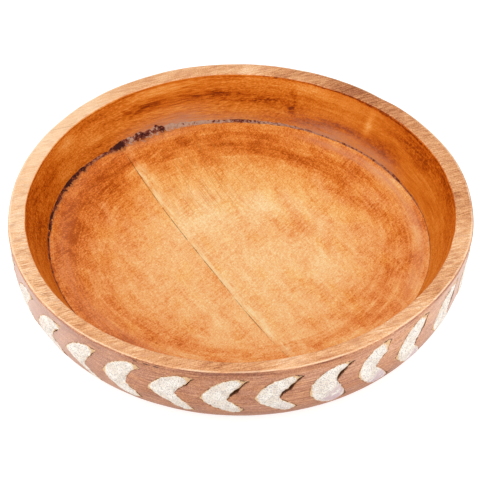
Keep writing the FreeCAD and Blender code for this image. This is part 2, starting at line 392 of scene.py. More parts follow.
def signed_distance(points, outline):
    """The distance of each point from a closed outline, negative inside."""
    start, end = outline, np.roll(outline, -1, axis=0)
    along = end - start
    apart = points[:, None] - start[None]
    share = np.clip((apart * along).sum(-1) / (along * along).sum(-1), 0, 1)
    distance = np.linalg.norm(apart - share[..., None] * along, axis=-1).min(1)
    x, y = points[:, :1], points[:, 1:]
    spans = (start[:, 1] > y) != (end[:, 1] > y)
    rise = np.where(along[:, 1] == 0, 1, along[:, 1])
    crossing = start[:, 0] + (y - start[:, 1]) * along[:, 0] / rise
    inside = (spans & (x < crossing)).sum(1) % 2 == 1
    return np.where(inside, -distance, distance)


def snap_to_edge(points, distance_of, reach):
    """Moves the points within reach of an edge onto it, so that a grid follows it. distance_of gives
    the distance of points from the edge. Returns the points and their distances."""
    distance = distance_of(points)
    near = np.abs(distance) < reach
    step = 0.05
    slope = np.stack([
        distance_of(points[near] + [step, 0]) - distance[near],
        distance_of(points[near] + [0, step]) - distance[near],
    ], 1) / step
    moved = points.copy()
    moved[near] -= slope * distance[near, None]
    distance[near] = 0
    return moved, distance


def notch_place(number):
    """The azimuth and height of a chevron's notch."""
    drawn = (CHEVRON_AZIMUTH + number * CHEVRON_PITCH) % FULL_TURN
    along, up = read_table(DRIFTS, drawn)
    return drawn + math.degrees(along / CHEVRON_RADIUS), CHEVRON_HEIGHT + up


def wall_to_plane(azimuth, height, number):
    """Millimetres across and up from a chevron's notch."""
    notch_azimuth, notch_height = notch_place(number)
    across = np.radians(turn_apart(azimuth, notch_azimuth)) * CHEVRON_RADIUS
    return np.stack([across, height - notch_height], -1)


def plane_to_wall(points, number):
    """The azimuth and height of points that are given from a chevron's notch."""
    notch_azimuth, notch_height = notch_place(number)
    azimuth = notch_azimuth + np.degrees(points[..., 0] / CHEVRON_RADIUS)
    return azimuth, points[..., 1] + notch_height


# ---- meshes ----


def grid_faces(rows, columns, wrap_rows=0, wrap_columns=0):
    """Quads over a grid of points numbered row by row. A wrap of 1 closes the grid on itself."""
    numbers = np.arange(rows * columns).reshape(rows, columns)
    numbers = np.pad(numbers, ((0, wrap_rows), (0, wrap_columns)), mode="wrap")
    corners = [numbers[:-1, :-1], numbers[:-1, 1:], numbers[1:, 1:], numbers[1:, :-1]]
    return np.stack(corners, -1).reshape(-1, 4)


def border_edges(faces):
    """The edges that belong to one face only, each running the way its face does."""
    start = faces.ravel()
    end = np.roll(faces, -1, axis=1).ravel()
    base = start.max() + 1
    single = ~np.isin(start * base + end, end * base + start)
    return np.stack([start[single], end[single]], 1)


def largest_sheet(faces):
    """The faces of the largest sheet that hangs together by its edges."""
    start, end = faces.ravel(), np.roll(faces, -1, axis=1).ravel()
    base = start.max() + 1
    keys = np.minimum(start, end) * base + np.maximum(start, end)
    order = np.argsort(keys, kind="stable")
    shared = np.flatnonzero(keys[order][1:] == keys[order][:-1])
    one, other = order[shared] // 4, order[shared + 1] // 4
    label = np.arange(len(faces))
    while True:
        lowest = label.copy()
        np.minimum.at(lowest, one, label[other])
        np.minimum.at(lowest, other, label[one])
        if (lowest == label).all():
            return faces[label == np.bincount(label).argmax()]
        label = lowest


def cut_grid(width, depth, step, distance_of):
    """A flat grid over a width and a depth, cut to where distance_of is negative. Returns its points,
    its quads and its points' distances."""
    across = np.arange(width[0], width[1] + step, step)
    up = np.arange(depth[0], depth[1] + step, step)
    points = np.stack(np.meshgrid(across, up), -1).reshape(-1, 2)
    points, distance = snap_to_edge(points, distance_of, 0.5 * step)
    quads = grid_faces(len(up), len(across))
    kept = largest_sheet(quads[(distance[quads] <= 0).all(1)])
    used, numbers = np.unique(kept, return_inverse=True)
    quads, points, distance = numbers.reshape(-1, 4), points[used], distance[used]
    border = np.unique(border_edges(quads))
    points[border], distance[border] = snap_to_edge(points[border], distance_of, 1.2 * step)
    return points, quads, distance


def add_object(name, data):
    made = bpy.data.objects.new(name, data)
    bpy.context.scene.collection.objects.link(made)
    return made


def make_piece(name, node, points, faces, shades, material):
    """A mesh object that stands for a CAD node. shades holds a number per point for each attribute
    that the material reads. Faces of more than four corners are flat and get sharp edges."""
    faces = [list(map(int, face)) for face in faces]
    mesh = bpy.data.meshes.new(name)
    mesh.from_pydata((np.asarray(points) * MM).tolist(), [], faces)
    mesh.polygons.foreach_set("use_smooth", [len(face) <= 4 for face in faces])
    for key, values in shades.items():
        attribute = mesh.attributes.new(key, "FLOAT", "POINT")
        attribute.data.foreach_set("value", np.asarray(values, np.float32).ravel())
    outward = bmesh.new()
    outward.from_mesh(mesh)
    bmesh.ops.recalc_face_normals(outward, faces=outward.faces)
    outward.to_mesh(mesh)
    outward.free()
    mesh.set_sharp_from_angle(angle=math.radians(SHARP_ANGLE))
    mesh.materials.append(material)
    piece = add_object(name, mesh)
    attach(piece, "root")
    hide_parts(node)


# ---- wall boards ----

# Darker and paler places on the inner wall: azimuth, height, half width round, half height, shade. A
# positive shade is darker. The rows at height 53.2 are painted shadow under the rim's inner edge, and
# the broad rows at azimuths 178 and 8 are painted shade on the side walls.
WALL_SHADES = [
    (116, 43, 13, 3, 0.22), (121, 42, 5, 2, 0.2), (98, 42, 10, 3.5, 0.24), (95.8, 42, 4, 2, 0.2),
    (82, 39, 9, 3.5, 0.3), (74.6, 35.6, 0.9, 1.6, 0.45), (74.7, 46, 0.6, 3, 0.25),
    (73.5, 40, 0.5, 8, 0.2), (66, 30.5, 7, 2.4, 0.35), (54, 34, 10, 2.5, 0.3), (40, 33, 7, 4, 0.3),
    (30, 46, 12, 6, 0.25), (40, 53.2, 15, 0.9, 0.5), (10, 53.2, 18, 0.9, 0.3),
    (132, 53.2, 20, 0.9, 0.35), (90, 53.2, 20, 0.7, 0.2), (162, 53.2, 14, 0.8, 0.25),
    (116, 50, 10, 3, -0.3), (70, 50, 8, 3, -0.25), (49, 42, 1.2, 7, -0.35), (133, 49, 8, 3, 0.15),
    (140, 32, 7, 5, 0.12), (147.5, 47, 4, 4, -0.35), (139, 37, 4, 4, -0.25), (152, 32, 5, 4, -0.2),
    (178, 42, 24, 30, 0.26), (8, 46, 26, 8, 0.14), (14, 52, 16, 5, 0.2), (255, 40, 9, 4, 0.3),
    (300, 36, 12, 3, 0.35),
]
# Putty wiped up the wall: azimuth, height above the floor, half width round, half height, strength.
WALL_SMEARS = [
    (108, 0, 9, 8, 1), (121, 0, 7, 5.5, 0.8), (90, 0, 9, 4, 0.5), (60, 0, 14, 7, 0.8),
    (40, 0, 8, 5.5, 0.6), (310, 0, 12, 3, 0.4),
]
# Darker and paler places on the rim: azimuth, half width round, shade.
RIM_SHADES = [
    (48, 15, 0.42), (64, 10, 0.32), (80, 6, 0.2), (12, 16, 0.22), (359, 6, 0.15), (205, 22, -0.12),
    (182, 12, -0.22), (152, 18, -0.32), (132, 8, -0.14), (120, 5, 0.12), (102, 8, 0.05),
    (228, 8, 0.1), (252, 9, 0.2), (269, 8, 0.3), (281, 4, -0.15), (292, 6, 0.15), (312, 10, -0.04),
    (331, 6, 0.14), (351, 7, -0.12),
]
# Where the rim and the inner wall are smoothest: azimuth, half width round.
RIM_CALM = (150, 34)
INSIDE_CALM = (32, 34)
# Where short brown dashes cross the rim: azimuth, half width round, strength.
RIM_DASHES = [
    (212, 24, 0.7), (42, 24, 0.45), (335, 9, 0.7), (10, 12, 0.4),
]
# Darker and paler places on the outer wall, as for the inner wall. The rows at heights 50 to 52.6 are
# painted shadow under the rim's outer edge, and the pale row at azimuth 205 is a painted sheen.
OUTER_SHADES = [
    (262, 51, 24, 2.5, 0.1), (264, 52.6, 12, 0.8, 0.5), (215, 50, 16, 4, 0.1),
    (320, 44, 30, 14, -0.3), (205, 40, 16, 16, -0.08), (255, 24, 12, 5, 0.12),
    (298, 18, 14, 4, 0.15),
]
# Painted pale sheen on the outer wall towards the sides: azimuth, half width round, strength.
OUTER_SHEEN = [
    (203, 12, 0.55), (222, 9, 0.25), (238, 5, 0.1), (338, 14, 0.45), (352, 10, 0.3),
]
# Nicks under the rim's outer edge: azimuth, height, half width round, half height, strength.
NICKS = [
    (245, 52.3, 0.55, 0.6, 1), (248, 52.2, 0.75, 0.6, 1), (250.4, 52.3, 0.6, 0.5, 1),
    (351, 51, 0.8, 1, 1),
]


def board_range(node, radius):
    """The azimuths between which a wall board lies at each radius."""
    square = WALL_GRAIN + 90
    rear = np.degrees(np.arccos(np.clip(WALL_REAR_JOINT / radius, -1, 1)))
    front = np.degrees(np.arccos(np.clip(WALL_FRONT_JOINT / radius, -1, 1)))
    return {
        "wall_board_rear": (square - rear, square + rear),
        "wall_board_left": (square + rear, square + front),
        "wall_board_front": (square + front, square + FULL_TURN - front),
        "wall_board_right": (square - front, square - rear),
    }[node]


def wall_grid(node):
    """The board's grid of azimuth, radius and height, a row for each point of the section."""
    start, end = board_range(node, SECTION[:, 0])
    columns = round(np.radians(float((end - start).max())) * RIM_RADIUS / WALL_STEP)
    share = np.linspace(0, 1, columns)
    trim = np.degrees(GLUE_GAP / RIM_RADIUS)
    azimuth = (start + trim)[:, None] + (end - start - 2 * trim)[:, None] * share
    radius, height = [np.repeat(part[:, None], columns, axis=1) for part in SECTION.T]
    return azimuth, radius, height


def carve_pockets(azimuth, height):
    """Draws the outer wall's grid onto the edges of the pockets. Returns its new azimuths and heights,
    how deep each point is carved and how dark the pocket's edge makes it."""
    azimuth, height = azimuth.copy(), height.copy()
    depth, edge = np.zeros_like(height), np.zeros_like(height)
    for number in range(len(INLAYS)):
        plane = wall_to_plane(azimuth, height, number)
        near = (np.abs(plane[..., 0]) < 19) & (np.abs(plane[..., 1]) < 20)
        if not near.any():
            continue
        outline = pocket_outline(number)
        snapped, distance = snap_to_edge(
            plane[near], lambda points: signed_distance(points, outline), 0.45 * WALL_STEP)
        azimuth[near], height[near] = plane_to_wall(snapped, number)
        depth[near] = np.where(distance < 0, POCKET_DEPTH, 0)
        edge[near] = np.where(distance == 0, 0.2, edge[near])
    return azimuth, height, depth, edge


def shape_wall(azimuth, radius, height):
    """Bends the true section to the hand-finished one. Returns the painted shade of the carving at each
    point: full in the pockets and a thin dark line at their edges."""
    climb = (height[INSIDE] - FLOOR) / (TOP - FLOOR)
    tool_marks = 0.12 * noise(polar(azimuth[INSIDE], radius[INSIDE], height[INSIDE]), 11, 8, 2)
    radius[INSIDE] += mouth_wander(azimuth[INSIDE]) * climb + tool_marks
    radius[INSIDE] += joint_wander(azimuth[INSIDE]) * (1 - climb)
    across = np.clip((radius[RIM] - MOUTH_RADIUS) / RIM_WIDTH, 0, 1)
    radius[RIM] += rim_wander(azimuth[RIM]) * across + mouth_wander(azimuth[RIM]) * (1 - across)
    height[RIM] += 0.10 * noise(polar(azimuth[RIM], radius[RIM], height[RIM]), 13, 9, 2)
    dark = np.zeros_like(radius)
    azimuth[OUTSIDE], height[OUTSIDE], depth, edge = carve_pockets(azimuth[OUTSIDE], height[OUTSIDE])
    radius[OUTSIDE] = outer_radius(azimuth[OUTSIDE], height[OUTSIDE]) - depth
    # Painted shade: the pockets are dark all through, and their edges get a thin dark line.
    dark[OUTSIDE] = np.maximum(depth / POCKET_DEPTH, edge)
    return dark


def wall_shades(azimuth, height, dark):
    """The attributes of the wall's material."""
    tone, smear_and_sheen = np.zeros_like(dark), np.zeros_like(dark)
    tone[INSIDE] = patches(WALL_SHADES, azimuth[INSIDE], height[INSIDE])
    tone[RIM] = arcs(RIM_SHADES, azimuth[RIM])
    tone[OUTSIDE] = patches(OUTER_SHADES, azimuth[OUTSIDE], height[OUTSIDE])
    smear_and_sheen[INSIDE] = patches(WALL_SMEARS, azimuth[INSIDE], height[INSIDE] - FLOOR)
    # On the outside this attribute holds a painted pale sheen, not putty.
    smear_and_sheen[OUTSIDE] = arcs(OUTER_SHEEN, azimuth[OUTSIDE])
    dashes = np.full_like(dark, 0.1)
    dashes[RIM] += arcs(RIM_DASHES, azimuth[RIM])
    nicks = patches(NICKS, azimuth[OUTSIDE], height[OUTSIDE])
    dark[OUTSIDE] = np.maximum(dark[OUTSIDE], nicks)
    row = np.indices(dark.shape)[0]
    # The rim's looks stop short of its eased edges, and a painted highlight lies along the outer one.
    on_rim = (row >= RIM.start + 2) & (row < RIM.stop - 3)
    return {
        "tone": tone,
        "smear_and_sheen": np.clip(smear_and_sheen, 0, 1),
        "on_rim": on_rim,
        "on_outside": row >= RIM.stop - 3,
        "edge_highlight": (row >= RIM.stop - 6) & (row < RIM.stop - 1),
        "dashes": dashes,
        "calm": np.where(on_rim, bump_at(azimuth, *RIM_CALM), bump_at(azimuth, *INSIDE_CALM)),
        "dark": dark,
    }


def make_wall_board(node, material):
    azimuth, radius, height = wall_grid(node)
    dark = shape_wall(azimuth, radius, height)
    rows, columns = radius.shape
    sides = grid_faces(rows, columns, wrap_rows=1).tolist()
    first_end = [row * columns for row in range(rows)]
    last_end = [row * columns + columns - 1 for row in range(rows)]
    shades = wall_shades(azimuth, height, dark)
    points = polar(azimuth, radius, height).reshape(-1, 3)
    name = node.replace("board", "wood")
    make_piece(name, node, points, sides + [first_end, last_end], shades, material)


# ---- inlays ----


def torn_outline(corners, bows, seed):
    """A function for the distance from a chevron's outline whose edge is torn, most at the upper end."""
    outline = chevron_outline(corners, bows)
    def distance_of(points):
        solid = np.concatenate([points, np.zeros((len(points), 1))], 1)
        from_end = np.linalg.norm(points - corners[2], axis=1)
        tear = 0.50 * noise(solid, 1.7, seed) + 0.35 * noise(solid, 5, seed + 1)
        tear = 0.20 + tear * (1 + 0.8 * np.exp(-from_end / 5.0))
        return signed_distance(points, outline) - tear
    return distance_of


def inlay_shades(flat, distance, corners, lilac):
    """The attributes of the inlay's material, for its face and then for its back."""
    from_tip, from_end, from_toe = [
        np.linalg.norm(flat - corner, axis=1) for corner in (corners[0], corners[2], corners[5])]
    tail = 1.3 * np.exp(-(from_end / 5.5) ** 2) + 0.9 * np.exp(-from_tip / 2.5)
    tail += 0.7 * np.exp(-from_toe / 4.0)
    return {
        # sunk is 1 on the back, and the sides between take painted shade.
        "sunk": np.repeat([0.0, 1.0], len(flat)),
        "edge": np.tile(np.exp(distance / 0.9), 2),
        "tail": np.tile(tail, 2),
        "lilac": np.tile(lilac * smooth_step(flat[:, 0] - flat[:, 1], 1, 12), 2),
        "crumbs": np.tile(np.exp(-from_toe / 4.0) * (0.4 + lilac), 2),
    }


def make_inlay(node, number, material):
    """A rough white inlay: nearly flush, sunk along the slit and torn at its edge."""
    corners, bows, slit, lilac = cut_chevron(number)
    torn = torn_outline(corners, bows, 200 + 7 * number)
    flat, faces, distance = cut_grid((-20, 20), (-23, 21), INLAY_STEP, torn)
    solid = np.concatenate([flat, np.full((len(flat), 1), 10.0 * number)], 1)
    slit_side = chevron_outline(corners, bows)[2 * SIDE_POINTS:4 * SIDE_POINTS]
    from_slit = np.linalg.norm(flat[:, None] - slit_side[None], axis=-1).min(1)
    pit = smooth_step(noise(solid, 1.5, seed=21), 0.4, 0.7)
    proud = 0.12 + 0.30 * (1 - np.exp(distance / 2.0)) + 0.22 * noise(solid, 3.2, 20, 3)
    proud -= 0.35 * pit + 0.6 * slit * np.exp(-(from_slit / 1.8) ** 2)
    azimuth, height = plane_to_wall(flat, number)
    wall = outer_radius(azimuth, height)
    face = polar(azimuth, wall + proud, height)
    back = polar(azimuth, wall - POCKET_DEPTH + 0.1, height)
    count = len(flat)
    start, end = border_edges(faces).T
    sides = np.stack([end, start, start + count, end + count], 1)
    quads = np.concatenate([faces, faces[:, ::-1] + count, sides])
    shades = inlay_shades(flat, distance, corners, lilac)
    name = "chevron_inlay_%02d" % (number + 1)
    make_piece(name, node, np.concatenate([face, back]), quads, shades, material)


# ---- floor boards ----

# Places of another tone on the floor: azimuth, radius, half length round, half width, shade. A
# positive shade is deeper and redder, a negative one paler.
FLOOR_SHADES = [
    (85, 108, 45, 14, 0.25), (77, 98, 14, 4, 0.12), (57, 101, 10, 6, 0.12), (46, 100, 8, 8, 0.1),
    (35, 91, 10, 9, 0.16), (20, 78, 9, 8, 0.1), (165, 114, 35, 10, 0.26), (225, 117, 28, 8, 0.16),
    (160, 88, 30, 12, 0.08), (280, 92, 36, 22, -0.12), (345, 106, 26, 12, 0.08),
    (318, 84, 22, 10, 0.06), (235, 92, 16, 10, 0.06), (250, 78, 16, 14, 0.05), (37, 49, 8, 5, 0.25),
    (12, 60, 6, 5, 0.1), (72, 49, 9, 8, -0.14), (115, 46, 26, 14, -0.12), (132, 98, 4, 12, -0.25),
]
# Haze of putty near the joint: azimuth, radius, half length round, half width, strength.
FLOOR_HAZE = [
    (55, 120, 14, 3.5, 0.6), (36, 120, 10, 3.5, 0.75), (12, 120, 18, 4, 0.5),
    (345, 119, 16, 5, 0.3), (118, 122, 12, 3, 0.35), (150, 122, 12, 3, 0.15),
    (190, 117, 30, 6, 0.25), (230, 114, 24, 8, 0.3),
]


def half_disc(side):
    """A function for the distance from the edge of half a disc, in the floor's own axes: x along the
    grain, y square to it. side is +1 for the part beyond the glue line and -1 for the other."""
    def distance_of(points):
        beyond_line = side * (FLOOR_JOINT - points[:, 1]) + GLUE_GAP
        beyond_ring = np.hypot(points[:, 0], points[:, 1]) - JOINT_RADIUS
        return np.maximum(beyond_line, beyond_ring)
    return distance_of


def floor_shades(azimuth, radius, from_line):
    """The attributes of the floor's material. from_line is the distance past the glue line."""
    # Deeper and redder towards the wall: partly the wood's own tone, partly painted shade near the wall.
    tone = 0.25 * smooth_step(radius, 50, 110) + 0.03 * smooth_step(radius, 92, 97)
    tone += np.where(from_line > 0, 0.06, 0.01) + patches(FLOOR_SHADES, azimuth, radius)
    sapwood = np.where(from_line < 0, np.exp(-(from_line / 6.0) ** 4), 0)
    return {
        "tone": tone,
        "smear_and_sheen": np.clip(patches(FLOOR_HAZE, azimuth, radius), 0, 1),
        "turned": smooth_step(radius, 70, 105),
        "amber": bump_at(azimuth, 90, 70) * smooth_step(radius, 30, 90),
        "sapwood": sapwood * (1 - smooth_step(radius, 98, 112)),
        "hatch": bump_at(azimuth, 108, 24) * smooth_step(radius, 35, 60) * (from_line < 0),
    }


def make_floor_board(node, side, material):
    """Half of the floor: its face, an edge down to the rabbet, and the flange that the rabbet holds."""
    depth = (FLOOR_JOINT, 130) if side > 0 else (FLOOR_JOINT - 150, FLOOR_JOINT)
    flat, faces, _ = cut_grid((-130, 130), depth, FLOOR_STEP, half_disc(side))
    azimuth = np.degrees(np.arctan2(flat[:, 1], flat[:, 0])) + FLOOR_GRAIN
    radius = np.hypot(flat[:, 0], flat[:, 1])
    drawn = radius + joint_wander(azimuth) * (radius / JOINT_RADIUS) ** 8
    level = dished_height(radius) + 0.15 * noise(polar(azimuth, radius, 0), 30, 31)
    border = np.unique(border_edges(faces))
    loop = border[np.argsort(np.arctan2(*(flat[border] - flat[border].mean(0)).T))]
    flange = RABBET_RADIUS / JOINT_RADIUS
    rings = [
        polar(azimuth[loop], radius[loop] * wider, height)
        for wider, height in ((1, RABBET_HEIGHT), (flange, RABBET_HEIGHT), (flange, 0))]
    quads = [faces]
    above = loop
    for number in range(len(rings)):
        below = len(flat) + number * len(loop) + np.arange(len(loop))
        quads.append(np.stack([np.roll(above, -1), above, below, np.roll(below, -1)], 1))
        above = below
    points = np.concatenate([polar(azimuth, drawn, level)] + rings)
    all_faces = np.concatenate(quads).tolist() + [above[::-1].tolist()]
    shades = floor_shades(azimuth, radius, flat[:, 1] - FLOOR_JOINT)
    hidden = len(points) - len(flat)
    padded = {key: np.concatenate([values, np.zeros(hidden)]) for key, values in shades.items()}
    name = node.replace("board", "wood")
    make_piece(name, node, points, all_faces, padded, material)


# ---- bead ----

# The filler round the floor: azimuth, reach over the floor, reach up the wall, how much of it is dark
# crust, how much of it is grey putty.
BEAD = np.array([
    (4, 0.4, 0.3, 0.45, 0), (12, 0.3, 0.3, 0.4, 0.1), (28, 0.6, 0.5, 0.52, 0.2),
    (34, 0.9, 0.5, 0.55, 0.3), (45, 0.5, 0.5, 0.48, 0.4), (65, 0.6, 0.5, 0.48, 0.6),
    (75, 0.9, 0.6, 0.52, 0.7), (86, 1.6, 0.6, 0.6, 0.9), (90, 1.9, 0.8, 0.75, 0.9),
    (94, 2, 0.7, 0.55, 0.9), (100, 2, 0.9, 0.5, 0.9), (108, 2.2, 1.5, 0.4, 1),
    (113, 2.8, 2.6, 0.3, 1), (115, 3.8, 3.6, 0.72, 1), (117, 3.6, 3.4, 0.6, 1),
    (123, 4.4, 3.2, 0.65, 1), (127, 3.4, 2.8, 0.6, 0.9), (129, 3, 2.4, 0.7, 0.7),
    (130, 5.6, 2, 1, 0.2), (131.5, 5.4, 1.8, 1, 0.2), (133, 3.4, 1.4, 0.75, 0.4),
    (136, 2, 0.8, 0.65, 0.6), (140, 2, 0.7, 0.6, 0.4), (144, 3, 0.6, 0.75, 0.2),
    (149, 4.4, 0.5, 0.85, 0.1), (154, 4.4, 0.5, 0.95, 0.1), (159, 3.2, 0.5, 0.8, 0.1),
    (165, 3, 0.5, 0.75, 0.1), (169, 2.4, 0.5, 0.85, 0.1), (173, 1.7, 0.5, 0.8, 0),
    (178, 1.2, 0.4, 0.72, 0), (188, 0.8, 0.4, 0.66, 0), (197, 0.6, 0.4, 0.58, 0),
    (212, 0.5, 0.3, 0.5, 0), (222, 0.3, 0.2, 0.35, 0), (230, 0.1, 0.1, 0, 0), (350, 0.1, 0.1, 0, 0),
])


def make_bead(node, material):
    """A lumpy ring of putty in the corner between floor and wall."""
    columns = round(2 * math.pi * JOINT_RADIUS / BEAD_STEP)
    azimuth = np.arange(columns) * FULL_TURN / columns
    over, up, crust, putty = read_table(BEAD, azimuth)
    over = over * (1 + 0.30 * ring_noise(azimuth, 3, 40, 3))
    up = up * (1 + 0.40 * ring_noise(azimuth, 4, 41, 2))
    corner = JOINT_RADIUS + joint_wander(azimuth)
    lean = LEAN_POWER * (MOUTH_RADIUS - JOINT_RADIUS) / (TOP - FLOOR)
    share = np.linspace(0, 1, 13)[:, None]
    toe = 2 * share * (1 - share)
    radius = corner - over * ((1 - share) ** 2 + 0.15 * toe) + (lean * up + 0.25) * share ** 2
    foot = dished_height(np.minimum(radius, corner) * JOINT_RADIUS / corner)
    height = foot + 0.15 + up * (share ** 2 + 0.15 * toe)
    lump = 0.30 * smooth_step(over, 0.5, 2.5) * np.sin(math.pi * share)
    lump = lump * noise(polar(azimuth, radius, height), 2.2, 42, 2)
    radius = np.concatenate([radius - lump, [corner + 1.2, corner - 0.5 * over]])
    height = np.concatenate([height + lump, [np.full(columns, FLOOR - 1.0), foot[0] - 1.0]])
    rows = len(radius)
    toe_cover = np.zeros((rows, columns))
    toe_cover[:len(share)] = (1 - share) * smooth_step(over, 0.5, 2.5)
    shades = {
        "crust": np.tile(crust, (rows, 1)),
        "putty": np.tile(putty, (rows, 1)),
        "toe": toe_cover,
    }
    points = polar(azimuth, radius, height).reshape(-1, 3)
    faces = grid_faces(rows, columns, wrap_rows=1, wrap_columns=1)
    make_piece("joint_putty", node, points, faces, shades, material)


# ---- materials ----


def colour(code):
    """The linear colour of a hex code."""
    parts = [int(code[place:place + 2], 16) / 255 for place in (0, 2, 4)]
    linear = [((part + 0.055) / 1.055) ** 2.4 if part > 0.04045 else part / 12.92 for part in parts]
    return (*linear, 1.0)


class Shader:
    """A material built node by node, with a grain that runs along an azimuth. Its methods take node
    outputs or plain values, and most return a node output."""

    def __init__(self, name, azimuth=0.0):
        self.azimuth = azimuth
        self.material = bpy.data.materials.new(name)
        self.material.use_nodes = True
        self.tree = self.material.node_tree
        self.surface = self.tree.nodes["Principled BSDF"]
        self.place = self.node("ShaderNodeTexCoord").outputs["Object"]

    def node(self, kind, inputs=None, **settings):
        made = self.tree.nodes.new(kind)
        for key, value in settings.items():
            setattr(made, key, value)
        for key, value in (inputs or {}).items():
            self.feed(made.inputs[key], value)
        return made

    def feed(self, socket, value):
        if isinstance(value, bpy.types.NodeSocket):
            self.tree.links.new(value, socket)
        else:
            socket.default_value = value

    def math(self, operation, first, second=0.0, third=0.0):
        inputs = {0: first, 1: second, 2: third}
        return self.node("ShaderNodeMath", inputs, operation=operation).outputs[0]

    def times(self, first, second):
        return self.math("MULTIPLY", first, second)

    def total(self, value, *parts):
        """A value plus the sum of outputs, each with its weight."""
        for output, weight in parts:
            value = self.math("MULTIPLY_ADD", output, weight, value)
        return value

    def read(self, name):
        """The value of a mesh attribute."""
        return self.node("ShaderNodeAttribute", attribute_name=name).outputs["Fac"]

    def clouds(self, place, detail, roughness, warp=0):
        inputs = {
            "Vector": place,
            "Scale": 1,
            "Detail": detail,
            "Roughness": roughness,
            "Distortion": warp,
        }
        return self.node("ShaderNodeTexNoise", inputs).outputs["Fac"]

    def noise(self, size, detail=3, roughness=0.55, warp=0, turn=0):
        """Noise from 0 to 1. size is its grain in millimetres, one number or along, across and up. turn
        takes it this many degrees from the material's grain."""
        inputs = {
            "Vector": self.place,
            "Rotation": (0, 0, math.radians(self.azimuth + turn)),
            "Scale": tuple(np.broadcast_to(size, 3) * MM),
        }
        place = self.node("ShaderNodeMapping", inputs, vector_type="TEXTURE").outputs[0]
        return self.clouds(place, detail, roughness, warp)

    def turned_noise(self, size, detail=2, roughness=0.6):
        """Noise from 0 to 1 that runs with a lathe tool's marks. Its grain is measured in millimetres
        outwards, degrees round and millimetres up."""
        x, y, z = self.node("ShaderNodeSeparateXYZ", {0: self.place}).outputs
        radius = self.math("SQRT", self.math("MULTIPLY_ADD", x, x, self.times(y, y)))
        inputs = {
            0: self.math("DIVIDE", radius, size[0] * MM),
            1: self.math("DIVIDE", self.math("ARCTAN2", y, x), math.radians(size[1])),
            2: self.math("DIVIDE", z, size[2] * MM),
        }
        place = self.node("ShaderNodeCombineXYZ", inputs).outputs[0]
        return self.clouds(place, detail, roughness)

    def between(self, value, low, high, start=0.0, end=1.0):
        """The value stretched from low..high to start..end, and held there beyond."""
        inputs = {"Value": value, "From Min": low, "From Max": high, "To Min": start, "To Max": end}
        made = self.node("ShaderNodeMapRange", inputs, interpolation_type="SMOOTHSTEP")
        return made.outputs["Result"]

    def ramp(self, value, stops):
        """A colour for a value, from hex codes at values."""
        made = self.node("ShaderNodeValToRGB", {"Fac": value})
        elements = made.color_ramp.elements
        while len(elements) < len(stops):
            elements.new(0.5)
        for element, (place, code) in zip(elements, stops.items()):
            element.position = place
            element.color = colour(code)
        return made.outputs["Color"]

    def mix(self, share, first, second):
        """A colour blended from two. Codes are hex."""
        made = self.node("ShaderNodeMix", data_type="RGBA")
        self.feed(made.inputs[0], share)
        for socket, value in ((made.inputs[6], first), (made.inputs[7], second)):
            self.feed(socket, colour(value) if isinstance(value, str) else value)
        return made.outputs[2]

    def line(self, offset, width):
        """1 on a plane along the grain at an offset from the axis, 0 a width away."""
        angle = math.radians(self.azimuth + 90)
        inputs = {0: self.place, 1: (math.cos(angle) / MM, math.sin(angle) / MM, 0)}
        along = self.node("ShaderNodeVectorMath", inputs, operation="DOT_PRODUCT").outputs["Value"]
        apart = self.math("ABSOLUTE", self.math("SUBTRACT", along, offset))
        return self.between(apart, 0.3 * width, width, 1.0, 0.0)

    def bump(self, height, distance):
        inputs = {"Height": height, "Distance": distance * MM, "Strength": 1.0}
        self.feed(self.surface.inputs["Normal"], self.node("ShaderNodeBump", inputs).outputs[0])

    def finish(self, base, roughness, specular=0.2):
        self.feed(self.surface.inputs["Base Color"], base)
        self.feed(self.surface.inputs["Roughness"], roughness)
        self.feed(self.surface.inputs["Specular IOR Level"], specular)
        return self.material


INSIDE_STAIN = {0: "EBAE66", 0.3: "DE8A38", 0.55: "CC6C18", 0.78: "AE4C04", 1: "7C2E04"}
FLOOR_STAIN = {0: "FFDFAC", 0.25: "F9C288", 0.5: "F0A262", 0.75: "DF7C3A", 1: "B45414"}
FLOOR_AMBER = {0: "FFE0A0", 0.25: "FBC070", 0.5: "EE9840", 0.75: "DA7018", 1: "AC4600"}
RIM_WOOD = {0: "FFDEB8", 0.35: "F2BA88", 0.65: "D89462", 1: "965434"}
OUTER_WOOD = {0: "DEAA80", 0.35: "C4875E", 0.65: "A86A46", 1: "7E4428"}
OUTER_MAUVE = {0: "D2A692", 0.35: "B88570", 0.65: "9E6854", 1: "744030"}


def inside_look(shader, tone, calm, blotch, streak, fibre, grit):
    """The stained inner wall, with putty wiped up it."""
    wiped = shader.turned_noise((9, 6, 1))
    bands = shader.turned_noise((30, 22, 3.4))
    texture = shader.total(-0.8, (fibre, 0.8), (grit, 0.35), (streak, 0.45))
    texture = shader.times(texture, shader.between(calm, 0, 1, 1, 0.4))
    shade = shader.times(tone, shader.between(streak, 0.3, 0.65, 0.5, 1.3))
    value = shader.total(shade, (wiped, 0.45), (texture, 0.65), (blotch, 0.3), (bands, 0.4))
    stained = shader.ramp(shader.math("SUBTRACT", value, 0.08), INSIDE_STAIN)
    wipes = shader.times(shader.read("smear_and_sheen"), shader.between(wiped, 0.3, 0.62, 0.35, 1))
    return shader.mix(wipes, stained, "C28A6A")


